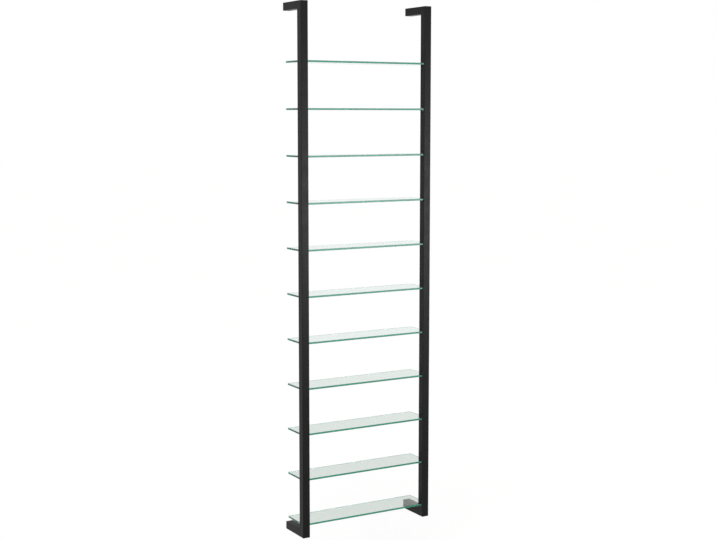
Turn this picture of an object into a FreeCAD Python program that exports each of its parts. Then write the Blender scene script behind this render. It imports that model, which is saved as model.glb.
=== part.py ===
import FreeCAD, Part
import os

import Sketcher
from FreeCAD import Vector

# Wall shelving unit: glass shelves standing in the slots of two brackets of square steel tube.
# X runs across the unit, +Y points at the wall and +Z is up. The origin is the middle of the
# four wall fixings, in the plane of the wall.

# Driving dimensions: name, millimetres (or a count) and what it is
DIMENSIONS = (
    ("overall_width", 500.0, "across both brackets"),
    ("overall_depth", 125.0, "from the wall to the front of the posts"),
    ("shelf_count", 11, "number of shelves"),
    ("shelf_pitch", 154.0, "from one shelf to the next"),
    ("bottom_gap", 15.0, "from the bottom arms up to the lowest glass"),
    ("top_gap", 164.0, "from the highest glass up to the top arms"),
    ("tube_side", 26.0, "outside of the square tube"),
    ("tube_wall", 2.0, "wall of the square tube"),
    ("tube_edge_radius", 1.0, "outer long edges of the tube"),
    ("tube_bore_radius", 0.5, "inner long edges of the tube"),
    ("cut_overrun", 5.0, "how far a cut runs past the faces it opens"),
    ("glass_thickness", 6.0, "glass sheet"),
    ("glass_wall_gap", 10.0, "from the glass to the wall"),
    ("glass_corner_radius", 2.0, "corners of the glass in plan"),
    ("glass_seam", 0.6, "seamed edges of the glass"),
    ("sleeve_wall", 1.0, "wall of a corner sleeve"),
    ("sleeve_play", 0.2, "from a sleeve to the tube round it"),
    ("glass_play", 0.2, "from the glass to a sleeve round it"),
    ("block_length", 30.0, "wall block along the arm"),
    ("block_play", 0.2, "from a wall block to the tube round it"),
    ("wall_hole_bore", 5.5, "wall screw hole"),
    ("wall_hole_sink", 10.6, "countersink of the wall screw hole"),
    ("lock_thread", 5.0, "lock screw thread, and its hole in the arm"),
    ("lock_length", 6.0, "lock screw"),
    ("lock_recess", 0.5, "from the lock screw up from the arm's underside"),
    ("lock_play", 0.1, "from the lock screw to the hole round it"),
    ("lock_bevel", 0.5, "bevelled ends of the lock screw"),
    ("lock_key", 2.5, "across the flats of the lock screw's hexagon"),
    ("lock_key_depth", 2.5, "depth of the hexagon"),
)

SIDES = {"left": -1, "right": 1}
LEVELS = {"bottom": -1, "top": 1}

document = FreeCAD.newDocument("wall_shelving_unit")
sheet = document.addObject("Spreadsheet::Sheet", "Sizes")
for row, (alias, value, meaning) in enumerate(DIMENSIONS, 1):
    sheet.set(f"A{row}", meaning)
    sheet.set(f"B{row}", str(value))
    sheet.setAlias(f"B{row}", alias)
document.recompute()

# Lengths that several pieces share, as expressions of the sheet
HALF_TUBE = "Sizes.tube_side / 2"
HALF_BORE = "(Sizes.tube_side / 2 - Sizes.tube_wall)"
PAST_TUBE = "(Sizes.tube_side / 2 + Sizes.cut_overrun)"
STACK = "(Sizes.shelf_count - 1) * Sizes.shelf_pitch + Sizes.glass_thickness"
HEIGHT = f"(2 * Sizes.tube_side + Sizes.bottom_gap + Sizes.top_gap + {STACK})"
BRACKET_X = "(Sizes.overall_width - Sizes.tube_side) / 2"
POST_Y = f"({HALF_TUBE} - Sizes.overall_depth)"
ARM_Z = f"({HEIGHT} - Sizes.tube_side) / 2"
LOWEST_GLASS = "(Sizes.tube_side + Sizes.bottom_gap)"
LOWEST_SLOT = f"({LOWEST_GLASS} - Sizes.sleeve_wall)"
SLEEVE_HEIGHT = "(Sizes.glass_thickness + Sizes.glass_play + 2 * Sizes.sleeve_wall)"
SLOT_HEIGHT = f"({SLEEVE_HEIGHT} + Sizes.sleeve_play)"
SLEEVE_END = f"({HALF_BORE} - Sizes.sleeve_play)"
POCKET_END = f"({SLEEVE_END} - Sizes.sleeve_wall)"
GLASS_END = f"({POCKET_END} - Sizes.glass_play)"
HALF_BLOCK = f"({HALF_BORE} - Sizes.block_play)"
BLOCK_FOOT = f"({HALF_BORE} - 2 * Sizes.block_play)"
LOCK_FOOT = f"({HALF_TUBE} - Sizes.lock_recess)"
LOCK_TIP = f"({LOCK_FOOT} - Sizes.lock_length)"
LOCK_SETBACK = "Sizes.block_length / 2"


def size(alias):
    """Give the present value of a dimension."""
    return float(getattr(sheet, alias))


def signed(sign, expression):
    """Give an expression, or its negative where sign is -1."""
    return f"{sign} * {expression}"


def new_body(label):
    """Start a piece of the unit under its own name."""
    body = document.addObject("PartDesign::Body", label)
    body.Label = label
    return body


def place(body, x, y, z):
    """Put a piece's own origin at three expressions."""
    for axis, expression in zip("xyz", (x, y, z)):
        body.setExpression(f".Placement.Base.{axis}", expression)


def origin_feature(body, role):
    """Find a plane or an axis of a piece's own origin."""
    return next(item for item in body.Origin.OriginFeatures if item.Role == role)


def new_sketch(body, name, role, offset="0"):
    """Lay a sketch on an origin plane, moved along the plane's normal by an expression."""
    sketch = body.newObject("Sketcher::SketchObject", f"{body.Label}_{name}")
    sketch.AttachmentSupport = [(origin_feature(body, role), "")]
    sketch.MapMode = "FlatFace"
    sketch.setExpression(".AttachmentOffset.Base.z", offset)
    return sketch


def polygon(sketch, points):
    """Draw a closed outline through points, and give the numbers of its lines."""
    first = sketch.GeometryCount
    for start, end in zip(points, points[1:] + points[:1]):
        sketch.addGeometry(Part.LineSegment(start, end))
    lines = list(range(first, first + len(points)))
    for line, following in zip(lines, lines[1:] + lines[:1]):
        sketch.addConstraint(Sketcher.Constraint("Coincident", line, 2, following, 1))
    return lines


def dimension(sketch, name, expression, *constraint):
    """Add a named constraint and tie it to an expression."""
    index = sketch.addConstraint(Sketcher.Constraint(*constraint))
    sketch.renameConstraint(index, name)
    sketch.setExpression(f"Constraints.{name}", expression)


def rectangle(sketch, name, left, right, foot, head):
    """Draw a rectangle whose sides lie at expressions from the sketch's origin."""
    points = [Vector(-1, -1), Vector(1, -1), Vector(1, 1), Vector(-1, 1)]
    lines = polygon(sketch, points)
    for line, direction in zip(lines, ("Horizontal", "Vertical") * 2):
        sketch.addConstraint(Sketcher.Constraint(direction, line))
    dimension(sketch, f"{name}_left", left, "DistanceX", -1, 1, lines[0], 1, -1)
    dimension(sketch, f"{name}_right", right, "DistanceX", -1, 1, lines[2], 1, 1)
    dimension(sketch, f"{name}_foot", foot, "DistanceY", -1, 1, lines[0], 1, -1)
    dimension(sketch, f"{name}_head", head, "DistanceY", -1, 1, lines[2], 1, 1)


def circle(sketch, name, diameter, x="0", y="0"):
    """Draw a circle whose centre lies at expressions from the sketch's origin."""
    ring = sketch.addGeometry(Part.Circle(Vector(1, 1), Vector(0, 0, 1), 1))
    dimension(sketch, f"{name}_diameter", diameter, "Diameter", ring, 2)
    dimension(sketch, f"{name}_x", x, "DistanceX", -1, 1, ring, 3, 1)
    dimension(sketch, f"{name}_y", y, "DistanceY", -1, 1, ring, 3, 1)


def pad(body, sketch, length):
    """Raise a sketch along its normal."""
    feature = body.newObject("PartDesign::Pad", f"{sketch.Label}_pad")
    feature.Profile = sketch
    feature.setExpression("Length", length)
    document.recompute()
    return feature


def checked_cut(feature, before):
    """Build a cut and stop if it took nothing off the piece."""
    document.recompute()
    if feature.Shape.isNull() or feature.Shape.Volume > before - 1e-6:
        raise RuntimeError(f"{feature.Label} cuts nothing")
    return feature


def pocket(body, sketch, depth=None):
    """Cut a sketch out: upwards along its normal by a depth, or right through on both sides."""
    before = body.Shape.Volume
    feature = body.newObject("PartDesign::Pocket", f"{sketch.Label}_cut")
    feature.Profile = sketch
    if depth is None:
        feature.Type = "ThroughAll"
        feature.SideType = "Symmetric"
    else:
        feature.Reversed = True
        feature.setExpression("Length", depth)
    return checked_cut(feature, before)


def edge_names(feature, wanted):
    """Name the edges of a feature that pass a test."""
    return [f"Edge{i}" for i, edge in enumerate(feature.Shape.Edges, 1) if wanted(edge)]


def dress_edges(body, kind, base, wanted, alias_property, expression):
    """Round or bevel the edges of a feature that pass a test."""
    feature = body.newObject(f"PartDesign::{kind}", f"{body.Label}_{kind.lower()}")
    feature.Base = (base, edge_names(base, wanted))
    feature.setExpression(alias_property, expression)
    document.recompute()
    return feature


def runs_along(edge, axis):
    """Tell whether an edge is straight and parallel to an axis."""
    if not isinstance(edge.Curve, Part.Line):
        return False
    return abs(abs(edge.Curve.Direction.dot(axis)) - 1) < 1e-9


def square_tube(body, role, axis, length):
    """Make a square tube along an axis, with rounded long edges inside and outside."""
    section = new_sketch(body, "section", role)
    for name, half in (("outside", HALF_TUBE), ("bore", HALF_BORE)):
        rectangle(section, name, signed(-1, half), half, signed(-1, half), half)
    raised = pad(body, section, length)
    mid_wall = (size("tube_side") - size("tube_wall")) / 2

    def is_outer(edge):
        return abs(edge.CenterOfMass.x) > mid_wall

    def outer_edges(edge):
        return runs_along(edge, axis) and is_outer(edge)

    def bore_edges(edge):
        return runs_along(edge, axis) and not is_outer(edge)

    rounded = dress_edges(body, "Fillet", raised, outer_edges, "Radius", "Sizes.tube_edge_radius")
    dress_edges(body, "Fillet", rounded, bore_edges, "Radius", "Sizes.tube_bore_radius")


def mitre(body, name, corner_y, corner_z, along_y, along_z):
    """Cut a tube's end at 45 degrees with a wedge whose square corner lies outside the tube."""
    sketch = new_sketch(body, name, "YZ_Plane")
    corner = Vector(0, 0)
    lines = polygon(sketch, [corner, Vector(along_y, 0), Vector(0, along_z)])
    sketch.addConstraint(Sketcher.Constraint("Horizontal", lines[0]))
    sketch.addConstraint(Sketcher.Constraint("Vertical", lines[2]))
    leg = "(Sizes.tube_side + 2 * Sizes.cut_overrun)"
    dimension(sketch, "corner_y", corner_y, "DistanceX", -1, 1, lines[0], 1, 1)
    dimension(sketch, "corner_z", corner_z, "DistanceY", -1, 1, lines[0], 1, 1)
    dimension(sketch, "leg_y", signed(along_y, leg), "DistanceX", lines[0], 1, lines[0], 2, along_y)
    dimension(sketch, "leg_z", signed(along_z, leg), "DistanceY", lines[2], 2, lines[2], 1, along_z)
    pocket(body, sketch)


def sided(side, low, high):
    """Turn a span on the right-hand bracket's X axis over for the left-hand one."""
    return (low, high) if side > 0 else (signed(-1, high), signed(-1, low))


def post(name, side):
    """Make an upright: mitred at both ends, with a slot per shelf in its inner and rear walls."""
    body = new_body(f"{name}_post")
    square_tube(body, "XY_Plane", Vector(0, 0, 1), HEIGHT)
    mitre(body, "top_mitre", PAST_TUBE, f"({HEIGHT} + Sizes.cut_overrun)", -1, -1)
    mitre(body, "bottom_mitre", PAST_TUBE, "-Sizes.cut_overrun", -1, 1)
    opening = new_sketch(body, "slot", "XY_Plane", LOWEST_SLOT)
    left, right = sided(side, signed(-1, PAST_TUBE), HALF_BORE)
    rectangle(opening, "slot", left, right, signed(-1, HALF_BORE), PAST_TUBE)
    slot = pocket(body, opening, SLOT_HEIGHT)
    row = body.newObject("PartDesign::LinearPattern", f"{name}_post_slots")
    row.Originals = [slot]
    row.Direction = (origin_feature(body, "Z_Axis"), [""])
    row.Mode = "Spacing"
    row.setExpression("Offset", "Sizes.shelf_pitch")
    row.setExpression("Occurrences", "Sizes.shelf_count")
    body.Tip = row
    place(body, signed(side, BRACKET_X), POST_Y, f"-{HEIGHT} / 2")
    checked_cut(row, slot.Shape.Volume)


def arm(name, side, level_name, level):
    """Make an arm from the wall to the post, with a tapped hole for its lock screw below."""
    body = new_body(f"{name}_{level_name}_arm")
    square_tube(body, "XZ_Plane", Vector(0, 1, 0), "Sizes.overall_depth")
    front = "-(Sizes.overall_depth + Sizes.cut_overrun)"
    mitre(body, "mitre", front, signed(-level, PAST_TUBE), 1, level)
    tapping = new_sketch(body, "lock_hole", "XY_Plane", f"-{PAST_TUBE}")
    circle(tapping, "lock", "Sizes.lock_thread", "0", f"-{LOCK_SETBACK}")
    pocket(body, tapping, "Sizes.cut_overrun + Sizes.tube_wall")
    place(body, signed(side, BRACKET_X), "0", signed(level, ARM_Z))


def wall_block(name, side, level_name, level):
    """Make the block that carries an arm's end: countersunk hole for a wall screw, lock dimple."""
    body = new_body(f"{name}_{level_name}_wall_block")
    section = new_sketch(body, "section", "XZ_Plane")
    rectangle(section, "block", signed(-1, HALF_BLOCK), HALF_BLOCK, f"-{BLOCK_FOOT}", HALF_BORE)
    raised = pad(body, section, "Sizes.block_length")

    def long_edges(edge):
        return runs_along(edge, Vector(0, 1, 0))

    radius = "Sizes.tube_bore_radius + Sizes.block_play"
    dress_edges(body, "Fillet", raised, long_edges, "Radius", radius)
    before = body.Shape.Volume
    drilling = new_sketch(body, "wall_hole", "XZ_Plane", "Sizes.block_length")
    circle(drilling, "bore", "Sizes.wall_hole_bore")
    document.recompute()
    hole = body.newObject("PartDesign::Hole", f"{body.Label}_hole")
    hole.Profile = drilling
    hole.DepthType = "ThroughAll"
    hole.HoleCutType = "Countersink"
    hole.HoleCutCustomValues = True
    hole.HoleCutCountersinkAngle = 90
    hole.setExpression("Diameter", "Sizes.wall_hole_bore")
    hole.setExpression("HoleCutDiameter", "Sizes.wall_hole_sink")
    checked_cut(hole, before)
    dimple = new_sketch(body, "dimple", "XY_Plane", f"-{PAST_TUBE}")
    circle(dimple, "dimple", "Sizes.lock_thread", "0", f"-{LOCK_SETBACK}")
    pocket(body, dimple, f"{PAST_TUBE} - {LOCK_TIP}")
    place(body, signed(side, BRACKET_X), "0", signed(level, ARM_Z))


def lock_screw(name, side, level_name, level):
    """Make the grub screw that locks an arm on its block: bevelled ends, hexagon below."""
    body = new_body(f"{name}_{level_name}_lock_screw")
    shank = new_sketch(body, "shank", "XY_Plane")
    circle(shank, "shank", "Sizes.lock_thread - 2 * Sizes.lock_play")
    raised = pad(body, shank, "Sizes.lock_length")

    def end_rims(edge):
        return isinstance(edge.Curve, Part.Circle)

    dress_edges(body, "Chamfer", raised, end_rims, "Size", "Sizes.lock_bevel")
    socket = new_sketch(body, "socket", "XY_Plane")
    ring = socket.addGeometry(Part.Circle(Vector(0, 0), Vector(0, 0, 1), 1), True)
    socket.addConstraint(Sketcher.Constraint("Coincident", ring, 3, -1, 1))
    dimension(socket, "across_corners", "2 * Sizes.lock_key / sqrt(3)", "Diameter", ring, 2)
    turn = FreeCAD.Rotation(Vector(0, 0, 1), 60)
    corners = [Vector(1, 0)]
    while len(corners) < 6:
        corners.append(turn.multVec(corners[-1]))
    flats = polygon(socket, corners)
    for flat in flats:
        socket.addConstraint(Sketcher.Constraint("PointOnObject", flat, 1, ring))
    for flat in flats[1:]:
        socket.addConstraint(Sketcher.Constraint("Equal", flats[0], flat))
    socket.addConstraint(Sketcher.Constraint("PointOnObject", flats[0], 1, -1))
    pocket(body, socket, "Sizes.lock_key_depth")
    foot = f"{signed(level, ARM_Z)} - {LOCK_FOOT}"
    place(body, signed(side, BRACKET_X), f"-{LOCK_SETBACK}", foot)


def above_base(level, shelf):
    """Give the height of a shelf's copy of a level measured from the foot of the brackets."""
    return f"{level} + {shelf} * Sizes.shelf_pitch - {HEIGHT} / 2"


def glass_shelf(shelf):
    """Make a shelf: a glass sheet with rounded corners and seamed edges."""
    body = new_body(f"glass_shelf_{shelf + 1:02d}")
    outline = new_sketch(body, "outline", "XY_Plane")
    half_length = f"({BRACKET_X} + {GLASS_END})"
    rear = "-Sizes.glass_wall_gap"
    rectangle(outline, "glass", f"-{half_length}", half_length, f"{POST_Y} - {GLASS_END}", rear)
    sheet_of_glass = pad(body, outline, "Sizes.glass_thickness")

    def upright_edges(edge):
        return runs_along(edge, Vector(0, 0, 1))

    corner_radius = "Sizes.glass_corner_radius"
    rounded = dress_edges(body, "Fillet", sheet_of_glass, upright_edges, "Radius", corner_radius)

    def rims(edge):
        return abs(edge.tangentAt(edge.FirstParameter).z) < 1e-9

    dress_edges(body, "Chamfer", rounded, rims, "Size", "Sizes.glass_seam")
    place(body, "0", "0", above_base(LOWEST_GLASS, shelf))


def sleeve(name, side, shelf):
    """Make the sleeve round one corner of a shelf: open towards the unit's middle and the wall."""
    body = new_body(f"{name}_sleeve_{shelf + 1:02d}")
    outline = new_sketch(body, "outline", "XY_Plane")
    left, right = sided(side, f"-{HALF_TUBE}", SLEEVE_END)
    rectangle(outline, "sleeve", left, right, f"-{SLEEVE_END}", HALF_TUBE)
    pad(body, outline, SLEEVE_HEIGHT)
    seat = new_sketch(body, "seat", "XY_Plane", "Sizes.sleeve_wall")
    left, right = sided(side, f"-{PAST_TUBE}", POCKET_END)
    rectangle(seat, "seat", left, right, f"-{POCKET_END}", PAST_TUBE)
    pocket(body, seat, "Sizes.glass_thickness + Sizes.glass_play")
    place(body, signed(side, BRACKET_X), POST_Y, above_base(LOWEST_SLOT, shelf))


def build():
    """Make every piece of the unit, one bracket at a time and then the shelves."""
    shelves = range(int(size("shelf_count")))
    for name, side in SIDES.items():
        post(name, side)
        for level_name, level in LEVELS.items():
            arm(name, side, level_name, level)
            wall_block(name, side, level_name, level)
            lock_screw(name, side, level_name, level)
        for shelf in shelves:
            sleeve(name, side, shelf)
    for shelf in shelves:
        glass_shelf(shelf)
    document.recompute()


def check():
    """Stop if a feature failed or a piece isn't one whole solid, and give the pieces."""
    for item in document.Objects:
        if "Invalid" in item.State or "Error" in item.State:
            raise RuntimeError(f"{item.Label} failed to build")
    bodies = [item for item in document.Objects if item.TypeId == "PartDesign::Body"]
    for body in bodies:
        if body.Shape.isNull() or not body.Shape.isValid() or len(body.Shape.Solids) != 1:
            raise RuntimeError(f"{body.Label} is not one whole solid")
    return bodies


build()
pieces = check()
os.makedirs("parts", exist_ok=True)
for piece in pieces:
    piece.Shape.exportStep(f"parts/{piece.Label}.step")
    box = piece.Shape.BoundBox
    print(f"{piece.Label}: {piece.Shape.Volume / 1000:.2f} cm3, top at {box.ZMax:.2f} mm")
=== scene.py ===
"""Dress the wall shelving unit: black square-tube brackets and clear glass shelves."""

import logging
import math
from dataclasses import dataclass
from enum import Enum

import bpy
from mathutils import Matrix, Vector


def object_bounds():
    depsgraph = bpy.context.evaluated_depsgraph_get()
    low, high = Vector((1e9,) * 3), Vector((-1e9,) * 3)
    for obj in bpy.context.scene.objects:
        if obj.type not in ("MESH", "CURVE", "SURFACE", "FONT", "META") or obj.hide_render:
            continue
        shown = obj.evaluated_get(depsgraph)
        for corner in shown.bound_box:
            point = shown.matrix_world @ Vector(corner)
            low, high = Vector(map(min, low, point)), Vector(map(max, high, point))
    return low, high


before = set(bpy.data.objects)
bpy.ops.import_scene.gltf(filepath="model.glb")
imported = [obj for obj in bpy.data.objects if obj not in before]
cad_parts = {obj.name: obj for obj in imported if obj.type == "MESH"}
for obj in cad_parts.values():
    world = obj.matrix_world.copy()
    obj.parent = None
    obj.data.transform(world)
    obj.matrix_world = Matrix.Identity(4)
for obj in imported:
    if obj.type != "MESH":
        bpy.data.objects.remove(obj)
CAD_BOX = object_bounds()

log = logging.getLogger("wall_shelving_unit")

Colour = tuple[float, float, float, float]
Point = tuple[float, float, float]

SHELF_PREFIX = "glass_shelf_"
MM = 0.001
FULL = 1.0
WHITE: Colour = (1.0, 1.0, 1.0, 1.0)

# A camera that is turned this far up from straight down looks level.
LEVEL_DEG = 90.0

# The sRGB curve: a short straight toe, then a power.
TOE_END = 0.04045
TOE_SLOPE = 12.92
CURVE_OFFSET = 0.055
CURVE_POWER = 2.4

# Maths and mix nodes repeat the names of their sockets, so these sockets go by number.
MATH_A = 0
MATH_B = 1
MATH_C = 2
MIX_SHARE = 0
MIX_FLOAT_A = 2
MIX_FLOAT_B = 3
MIX_FLOAT_OUT = 0
MIX_COLOUR_A = 6
MIX_COLOUR_B = 7
MIX_COLOUR_OUT = 2
SHADER_SHARE = 0
SHADER_A = 1
SHADER_B = 2


class Side(Enum):
    """The two brackets, as seen from the front."""

    LEFT = "left"
    RIGHT = "right"


class Level(Enum):
    """The two ends of a bracket."""

    BOTTOM = "bottom"
    TOP = "top"


def linear(hex_colour: str) -> Colour:
    """Turn an sRGB hex colour into linear light.

    Args:
        hex_colour: Six hex digits after a hash sign.

    Returns:
        Linear red, green and blue, and an alpha of 1.
    """
    shares = [int(hex_colour[i:i + 2], 16) / 255 for i in (1, 3, 5)]
    red, green, blue = (
        s / TOE_SLOPE if s <= TOE_END else ((s + CURVE_OFFSET) / (1 + CURVE_OFFSET)) ** CURVE_POWER
        for s in shares
    )
    return red, green, blue, FULL


def per_metre(size_mm: float) -> float:
    """Give the texture scale, per metre, of a pattern whose features are size_mm apart."""
    return 1 / (size_mm * MM)


def add_node(
    tree: bpy.types.NodeTree,
    kind: str,
    settings: dict[str, object] | None = None,
    values: dict[str | int, object] | None = None,
    links: dict[str | int, bpy.types.NodeSocket] | None = None,
) -> bpy.types.Node:
    """Add a node with its settings, input values and links.

    Args:
        tree: The node tree that takes the node.
        kind: The node's type name.
        settings: Properties of the node itself.
        values: Constant values of its inputs.
        links: Output sockets that feed its inputs.

    Returns:
        The new node.
    """
    node = tree.nodes.new(kind)
    for name, value in (settings or {}).items():
        setattr(node, name, value)
    for name, value in (values or {}).items():
        node.inputs[name].default_value = value
    for name, socket in (links or {}).items():
        tree.links.new(socket, node.inputs[name])
    return node


def empty_material(name: str) -> tuple[bpy.types.Material, bpy.types.NodeTree]:
    """Start a material with no nodes in it.

    Args:
        name: The real material and how its surface was made.

    Returns:
        The material and its node tree.
    """
    material = bpy.data.materials.new(name)
    material.use_nodes = True
    material.node_tree.nodes.clear()
    return material, material.node_tree


@dataclass(frozen=True)
class PowderCoat:
    """Black polyester powder coat, sprayed and stoved on steel tube.

    It melts into a satin skin with an orange peel and a fine grit, so highlights are broad and soft.
    The real peel is about 0.8 mm across and the grit 0.2 mm: both are drawn three times as coarse
    so that they show.
    """

    dark: str = "#0b0b0c"
    light: str = "#141415"
    cloud_mm: float = 40.0
    cloud_detail: float = 3.0
    peel_mm: float = 2.4
    peel_detail: float = 1.0
    peel_height_mm: float = 0.06
    grit_mm: float = 0.6
    grit_detail: float = 0.0
    grit_height_mm: float = 0.04
    roughness: tuple[float, float] = (0.28, 0.44)
    specular: float = 0.10

    def material(self) -> bpy.types.Material:
        """Build the coat's material."""
        material, tree = empty_material("polyester_powder_coat_stoved_black")
        place = add_node(tree, "ShaderNodeTexCoord").outputs["Object"]
        cloud = add_node(
            tree,
            "ShaderNodeTexNoise",
            values={"Scale": per_metre(self.cloud_mm), "Detail": self.cloud_detail},
            links={"Vector": place},
        ).outputs["Fac"]
        peel = add_node(
            tree,
            "ShaderNodeTexNoise",
            values={"Scale": per_metre(self.peel_mm), "Detail": self.peel_detail},
            links={"Vector": place},
        ).outputs["Fac"]
        grit = add_node(
            tree,
            "ShaderNodeTexNoise",
            values={"Scale": per_metre(self.grit_mm), "Detail": self.grit_detail},
            links={"Vector": place},
        ).outputs["Fac"]
        tone = add_node(
            tree,
            "ShaderNodeMix",
            {"data_type": "RGBA"},
            {MIX_COLOUR_A: linear(self.dark), MIX_COLOUR_B: linear(self.light)},
            {MIX_SHARE: cloud},
        ).outputs[MIX_COLOUR_OUT]
        gloss = add_node(
            tree,
            "ShaderNodeMapRange",
            values={"To Min": self.roughness[0], "To Max": self.roughness[1]},
            links={"Value": cloud},
        ).outputs["Result"]
        relief = add_node(
            tree,
            "ShaderNodeMath",
            {"operation": "MULTIPLY_ADD"},
            {MATH_B: self.grit_height_mm / self.peel_height_mm},
            {MATH_A: grit, MATH_C: peel},
        ).outputs["Value"]
        bump = add_node(
            tree,
            "ShaderNodeBump",
            values={"Strength": FULL, "Distance": self.peel_height_mm * MM},
            links={"Height": relief},
        ).outputs["Normal"]
        coat = add_node(
            tree,
            "ShaderNodeBsdfPrincipled",
            values={"Specular IOR Level": self.specular},
            links={"Base Color": tone, "Roughness": gloss, "Normal": bump},
        ).outputs["BSDF"]
        add_node(tree, "ShaderNodeOutputMaterial", links={"Surface": coat})
        return material


@dataclass(frozen=True)
class FloatGlass:
    """Clear float glass with fire-polished faces and seamed edges.

    The iron in it takes red light first, so a long way through the sheet looks dark green
    while the faces, with their thin film of dust, stay almost clear. The edge colour stands for
    light that has run the length of a shelf.
    """

    ior: float = 1.52
    tint: str = "#a8ddd2"
    density_per_m: float = 32.0
    face_colour: str = "#f2f2f0"
    edge_colour: str = "#18e8d6"
    face_roughness: tuple[float, float] = (0.0, 0.02)
    edge_roughness: float = 0.38
    wipe_mm: float = 60.0
    wipe_detail: float = 4.0
    wipe_span: tuple[float, float] = (0.45, 0.75)
    face_upright: float = 0.9

    def material(self) -> bpy.types.Material:
        """Build the glass material, with its rougher edges found by the way they face."""
        material, tree = empty_material("clear_float_glass_seamed")
        place = add_node(tree, "ShaderNodeTexCoord").outputs
        wiped = add_node(
            tree,
            "ShaderNodeTexNoise",
            values={"Scale": per_metre(self.wipe_mm), "Detail": self.wipe_detail},
            links={"Vector": place["Object"]},
        ).outputs["Fac"]
        face = add_node(
            tree,
            "ShaderNodeMapRange",
            values={
                "From Min": self.wipe_span[0],
                "From Max": self.wipe_span[1],
                "To Min": self.face_roughness[0],
                "To Max": self.face_roughness[1],
            },
            links={"Value": wiped},
        ).outputs["Result"]
        upright = add_node(
            tree, "ShaderNodeSeparateXYZ", links={"Vector": place["Normal"]}
        ).outputs["Z"]
        flat = add_node(
            tree, "ShaderNodeMath", {"operation": "ABSOLUTE"}, links={MATH_A: upright}
        ).outputs["Value"]
        is_face = add_node(
            tree,
            "ShaderNodeMath",
            {"operation": "GREATER_THAN"},
            {MATH_B: self.face_upright},
            {MATH_A: flat},
        ).outputs["Value"]
        rough = add_node(
            tree,
            "ShaderNodeMix",
            {"data_type": "FLOAT"},
            {MIX_FLOAT_A: self.edge_roughness},
            {MIX_SHARE: is_face, MIX_FLOAT_B: face},
        ).outputs[MIX_FLOAT_OUT]
        tone = add_node(
            tree,
            "ShaderNodeMix",
            {"data_type": "RGBA"},
            {MIX_COLOUR_A: linear(self.edge_colour), MIX_COLOUR_B: linear(self.face_colour)},
            {MIX_SHARE: is_face},
        ).outputs[MIX_COLOUR_OUT]
        glass = add_node(
            tree,
            "ShaderNodeBsdfPrincipled",
            values={"Transmission Weight": FULL, "IOR": self.ior},
            links={"Base Color": tone, "Roughness": rough},
        ).outputs["BSDF"]
        depth = add_node(
            tree,
            "ShaderNodeVolumeAbsorption",
            values={"Color": linear(self.tint), "Density": self.density_per_m},
        ).outputs["Volume"]
        add_node(tree, "ShaderNodeOutputMaterial", links={"Surface": glass, "Volume": depth})
        return material


@dataclass(frozen=True)
class MouldedRubber:
    """Soft black rubber, moulded in a sand-blasted tool, so it is matt and faintly grained."""

    dark: str = "#121212"
    light: str = "#1b1b1b"
    grain_mm: float = 0.5
    grain_detail: float = 2.0
    grain_height_mm: float = 0.04
    roughness: float = 0.75

    def material(self) -> bpy.types.Material:
        """Build the rubber's material."""
        material, tree = empty_material("black_rubber_moulded")
        place = add_node(tree, "ShaderNodeTexCoord").outputs["Object"]
        grain = add_node(
            tree,
            "ShaderNodeTexNoise",
            values={"Scale": per_metre(self.grain_mm), "Detail": self.grain_detail},
            links={"Vector": place},
        ).outputs["Fac"]
        tone = add_node(
            tree,
            "ShaderNodeMix",
            {"data_type": "RGBA"},
            {MIX_COLOUR_A: linear(self.dark), MIX_COLOUR_B: linear(self.light)},
            {MIX_SHARE: grain},
        ).outputs[MIX_COLOUR_OUT]
        bump = add_node(
            tree,
            "ShaderNodeBump",
            values={"Strength": FULL, "Distance": self.grain_height_mm * MM},
            links={"Height": grain},
        ).outputs["Normal"]
        rubber = add_node(
            tree,
            "ShaderNodeBsdfPrincipled",
            values={"Roughness": self.roughness},
            links={"Base Color": tone, "Normal": bump},
        ).outputs["BSDF"]
        add_node(tree, "ShaderNodeOutputMaterial", links={"Surface": rubber})
        return material


@dataclass(frozen=True)
class SawnAluminium:
    """Aluminium bar, sawn to length, so the end that shows has fine lines across it and a dull shine."""

    dark: str = "#a9abad"
    light: str = "#c9cbcd"
    line_mm: float = 0.4
    line_detail: float = 3.0
    line_height_mm: float = 0.02
    stretch: float = 0.04
    roughness: tuple[float, float] = (0.30, 0.46)

    def material(self) -> bpy.types.Material:
        """Build the metal's material."""
        material, tree = empty_material("aluminium_bar_sawn")
        place = add_node(tree, "ShaderNodeTexCoord").outputs["Object"]
        across = add_node(
            tree,
            "ShaderNodeMapping",
            values={"Scale": (self.stretch, FULL, FULL)},
            links={"Vector": place},
        ).outputs["Vector"]
        lines = add_node(
            tree,
            "ShaderNodeTexNoise",
            values={"Scale": per_metre(self.line_mm), "Detail": self.line_detail},
            links={"Vector": across},
        ).outputs["Fac"]
        tone = add_node(
            tree,
            "ShaderNodeMix",
            {"data_type": "RGBA"},
            {MIX_COLOUR_A: linear(self.dark), MIX_COLOUR_B: linear(self.light)},
            {MIX_SHARE: lines},
        ).outputs[MIX_COLOUR_OUT]
        gloss = add_node(
            tree,
            "ShaderNodeMapRange",
            values={"To Min": self.roughness[0], "To Max": self.roughness[1]},
            links={"Value": lines},
        ).outputs["Result"]
        bump = add_node(
            tree,
            "ShaderNodeBump",
            values={"Strength": FULL, "Distance": self.line_height_mm * MM},
            links={"Height": lines},
        ).outputs["Normal"]
        metal = add_node(
            tree,
            "ShaderNodeBsdfPrincipled",
            values={"Metallic": FULL},
            links={"Base Color": tone, "Roughness": gloss, "Normal": bump},
        ).outputs["BSDF"]
        add_node(tree, "ShaderNodeOutputMaterial", links={"Surface": metal})
        return material


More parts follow.
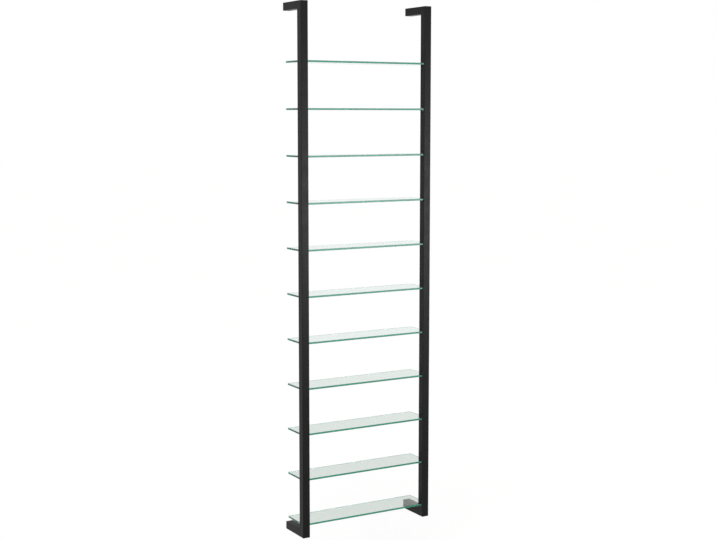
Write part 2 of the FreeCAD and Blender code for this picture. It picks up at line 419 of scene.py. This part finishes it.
@dataclass(frozen=True)
class BlackenedSteel:
    """Hardened steel, blackened in hot salts and oiled, so it is dark with a dull sheen."""

    dark: str = "#2a2a2c"
    light: str = "#3a3a3d"
    mottle_mm: float = 0.6
    mottle_detail: float = 3.0
    roughness: tuple[float, float] = (0.32, 0.50)

    def material(self) -> bpy.types.Material:
        """Build the steel's material."""
        material, tree = empty_material("hardened_steel_blackened")
        place = add_node(tree, "ShaderNodeTexCoord").outputs["Object"]
        mottle = add_node(
            tree,
            "ShaderNodeTexNoise",
            values={"Scale": per_metre(self.mottle_mm), "Detail": self.mottle_detail},
            links={"Vector": place},
        ).outputs["Fac"]
        tone = add_node(
            tree,
            "ShaderNodeMix",
            {"data_type": "RGBA"},
            {MIX_COLOUR_A: linear(self.dark), MIX_COLOUR_B: linear(self.light)},
            {MIX_SHARE: mottle},
        ).outputs[MIX_COLOUR_OUT]
        gloss = add_node(
            tree,
            "ShaderNodeMapRange",
            values={"To Min": self.roughness[0], "To Max": self.roughness[1]},
            links={"Value": mottle},
        ).outputs["Result"]
        steel = add_node(
            tree,
            "ShaderNodeBsdfPrincipled",
            values={"Metallic": FULL},
            links={"Base Color": tone, "Roughness": gloss},
        ).outputs["BSDF"]
        add_node(tree, "ShaderNodeOutputMaterial", links={"Surface": steel})
        return material


def dress_node(name: str, material: bpy.types.Material) -> None:
    """Give a node of the frame its finish.

    Args:
        name: The node's name.
        material: The finish that its one slot takes.
    """
    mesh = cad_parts[name].data
    mesh.materials.clear()
    mesh.materials.append(material)
    log.info("%s: %s", name, material.name)


def put_in_scene(name: str, data: bpy.types.ID) -> bpy.types.Object:
    """Put a new object in the scene.

    Args:
        name: The object's name.
        data: Its mesh, lamp or camera.

    Returns:
        The new object.
    """
    thing = bpy.data.objects.new(name, data)
    bpy.context.collection.objects.link(thing)
    return thing


@dataclass
class Bracket:
    """One bracket: a post with an arm at each end, welded and coated as one."""

    side: Side

    def dress(self, coat: bpy.types.Material) -> None:
        """Coat the post and both arms."""
        dress_node(f"{self.side.value}_post", coat)
        for level in Level:
            dress_node(f"{self.side.value}_{level.value}_arm", coat)


@dataclass
class Shelf:
    """One glass shelf with the sleeves round its two front corners."""

    number: int

    def dress(self, glass: bpy.types.Material, rubber: bpy.types.Material) -> None:
        """Finish the glass and its sleeves."""
        dress_node(f"{SHELF_PREFIX}{self.number:02d}", glass)
        for side in Side:
            dress_node(f"{side.value}_sleeve_{self.number:02d}", rubber)


@dataclass
class WallFixing:
    """The block in the end of an arm, and the grub screw that locks the arm on it."""

    side: Side
    level: Level

    def dress(self, metal: bpy.types.Material, steel: bpy.types.Material) -> None:
        """Finish the block and the screw."""
        name = f"{self.side.value}_{self.level.value}"
        dress_node(f"{name}_wall_block", metal)
        dress_node(f"{name}_lock_screw", steel)


@dataclass
class Softbox:
    """A large flat lamp that points at the unit."""

    name: str
    place: Point
    aim: Point
    width_m: float
    height_m: float
    power_w: float

    def build(self) -> None:
        """Hang the lamp in the studio."""
        data = bpy.data.lights.new(self.name, "AREA")
        data.shape = "RECTANGLE"
        data.size = self.width_m
        data.size_y = self.height_m
        data.energy = self.power_w
        lamp = put_in_scene(self.name, data)
        lamp.location = self.place
        towards = Vector(self.aim) - Vector(self.place)
        lamp.rotation_euler = towards.to_track_quat("-Z", "Y").to_euler()


@dataclass
class Skylight:
    """Even light from a wide patch of the ceiling, far enough off to fall alike on the whole floor."""

    name: str
    come_from: Point
    spread_deg: float
    strength: float

    def build(self) -> None:
        """Set the light, pointing from its patch to the unit."""
        data = bpy.data.lights.new(self.name, "SUN")
        data.energy = self.strength
        data.angle = math.radians(self.spread_deg)
        lamp = put_in_scene(self.name, data)
        towards = -Vector(self.come_from)
        lamp.rotation_euler = towards.to_track_quat("-Z", "Y").to_euler()


@dataclass
class PhotographView:
    """The camera: in front of the unit, to its left, and tilted down a little."""

    place: Point = (-2.2139, -3.8731, 0.5202)
    turn_deg: float = 30.139
    tilt_deg: float = 6.396
    lens_mm: float = 65.386
    sensor_mm: float = 36.0
    shift_y: float = -0.0120

    def build(self) -> None:
        """Place the camera and make it the scene's own."""
        data = bpy.data.cameras.new("photograph_view")
        data.lens = self.lens_mm
        data.sensor_width = self.sensor_mm
        data.shift_y = self.shift_y
        camera = put_in_scene("photograph_view", data)
        camera.location = self.place
        pitch = math.radians(LEVEL_DEG - self.tilt_deg)
        camera.rotation_euler = (pitch, 0.0, math.radians(-self.turn_deg))
        bpy.context.scene.camera = camera


@dataclass
class Studio:
    """A pale floor, a white sweep that greys towards the ceiling, and soft lamps."""

    floor_drop_m: float = 0.30
    floor_half_m: float = 40.0
    floor_colour: str = "#f2f2f0"
    floor_glow: float = 0.8
    floor_strength: float = 1.06
    ambient: float = 0.55
    sweep_end_deg: float = 9.5
    ceiling_start_deg: float = 17.0
    ceiling_colour: str = "#d2d0cb"
    light_bounces: int = 16

    def seen_directly(self, tree: bpy.types.NodeTree) -> bpy.types.NodeSocket:
        """Give 1 for the rays that show the background: to the eye, mirrored or through glass.

        Args:
            tree: The node tree of the floor or the world.

        Returns:
            A socket that is 1 for those rays and 0 for the light that falls on the unit.
        """
        path = add_node(tree, "ShaderNodeLightPath").outputs
        mirrored = add_node(
            tree,
            "ShaderNodeMath",
            {"operation": "MAXIMUM"},
            links={MATH_A: path["Is Camera Ray"], MATH_B: path["Is Glossy Ray"]},
        ).outputs["Value"]
        return add_node(
            tree,
            "ShaderNodeMath",
            {"operation": "MAXIMUM"},
            links={MATH_A: mirrored, MATH_B: path["Is Transmission Ray"]},
        ).outputs["Value"]

    def build_floor(self) -> None:
        """Lay the floor: mostly self-lit, with a share that keeps the shadow, and clear from below."""
        half = self.floor_half_m
        level = CAD_BOX[0][2] - self.floor_drop_m
        corners = [
            (-half, -half, level),
            (half, -half, level),
            (half, half, level),
            (-half, half, level),
        ]
        mesh = bpy.data.meshes.new("studio_floor")
        mesh.from_pydata(corners, [], [(0, 1, 2, 3)])
        material, tree = empty_material("painted_studio_floor")
        paint = add_node(
            tree, "ShaderNodeBsdfDiffuse", values={"Color": linear(self.floor_colour)}
        ).outputs["BSDF"]
        glow = add_node(
            tree, "ShaderNodeEmission", values={"Color": WHITE, "Strength": self.floor_strength}
        ).outputs["Emission"]
        share = add_node(
            tree,
            "ShaderNodeMath",
            {"operation": "MULTIPLY"},
            {MATH_B: self.floor_glow},
            {MATH_A: self.seen_directly(tree)},
        ).outputs["Value"]
        mixed = add_node(
            tree,
            "ShaderNodeMixShader",
            links={SHADER_SHARE: share, SHADER_A: paint, SHADER_B: glow},
        ).outputs["Shader"]
        clear = add_node(tree, "ShaderNodeBsdfTransparent").outputs["BSDF"]
        below = add_node(tree, "ShaderNodeNewGeometry").outputs["Backfacing"]
        sided = add_node(
            tree,
            "ShaderNodeMixShader",
            links={SHADER_SHARE: below, SHADER_A: mixed, SHADER_B: clear},
        ).outputs["Shader"]
        add_node(tree, "ShaderNodeOutputMaterial", links={"Surface": sided})
        mesh.materials.append(material)
        floor = put_in_scene("studio_floor", mesh)

    def build_world(self) -> None:
        """Set the white sweep behind the unit, greyer overhead, and the even light it gives."""
        world = bpy.data.worlds.new("studio_sweep")
        world.use_nodes = True
        tree = world.node_tree
        tree.nodes.clear()
        way = add_node(tree, "ShaderNodeTexCoord").outputs["Generated"]
        height = add_node(tree, "ShaderNodeSeparateXYZ", links={"Vector": way}).outputs["Z"]
        sweep = add_node(
            tree,
            "ShaderNodeMapRange",
            values={
                "From Min": math.sin(math.radians(self.sweep_end_deg)),
                "From Max": math.sin(math.radians(self.ceiling_start_deg)),
            },
            links={"Value": height},
        ).outputs["Result"]
        tone = add_node(
            tree,
            "ShaderNodeMix",
            {"data_type": "RGBA"},
            {MIX_COLOUR_A: WHITE, MIX_COLOUR_B: linear(self.ceiling_colour)},
            {MIX_SHARE: sweep},
        ).outputs[MIX_COLOUR_OUT]
        shown = add_node(
            tree, "ShaderNodeBackground", values={"Strength": FULL}, links={"Color": tone}
        ).outputs["Background"]
        light = add_node(
            tree, "ShaderNodeBackground", values={"Color": WHITE, "Strength": self.ambient}
        ).outputs["Background"]
        mixed = add_node(
            tree,
            "ShaderNodeMixShader",
            links={SHADER_SHARE: self.seen_directly(tree), SHADER_A: light, SHADER_B: shown},
        ).outputs["Shader"]
        add_node(tree, "ShaderNodeOutputWorld", links={"Surface": mixed})
        bpy.context.scene.world = world

    def build_lamps(self) -> None:
        """Hang a key lamp in front on the right, and light the floor evenly from the upper left."""
        Softbox(
            name="key_softbox",
            place=(2.05, -3.66, 0.0),
            aim=(0.0, 0.0, 0.1),
            width_m=0.9,
            height_m=0.9,
            power_w=62.0,
        ).build()
        Skylight(
            name="overhead_skylight",
            come_from=(-0.45, -0.55, 0.70),
            spread_deg=30.0,
            strength=1.4,
        ).build()

    def build(self) -> None:
        """Set up the whole studio."""
        self.build_floor()
        self.build_world()
        self.build_lamps()
        scene = bpy.context.scene
        scene.view_settings.view_transform = "Standard"
        # Light runs along a shelf by bouncing between its faces, which takes more turns than usual.
        scene.cycles.max_bounces = self.light_bounces
        scene.cycles.glossy_bounces = self.light_bounces
        scene.cycles.transmission_bounces = self.light_bounces


def main() -> None:
    """Dress the unit piece by piece, then set up the studio and the camera."""
    logging.basicConfig(level=logging.INFO, format="%(message)s")
    coat = PowderCoat().material()
    glass = FloatGlass().material()
    rubber = MouldedRubber().material()
    metal = SawnAluminium().material()
    steel = BlackenedSteel().material()
    for side in Side:
        Bracket(side).dress(coat)
        for level in Level:
            WallFixing(side, level).dress(metal, steel)
    shelf_count = sum(name.startswith(SHELF_PREFIX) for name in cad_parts)
    for number in range(1, shelf_count + 1):
        Shelf(number).dress(glass, rubber)
    Studio().build()
    PhotographView().build()


if __name__ == "__main__":
    main()
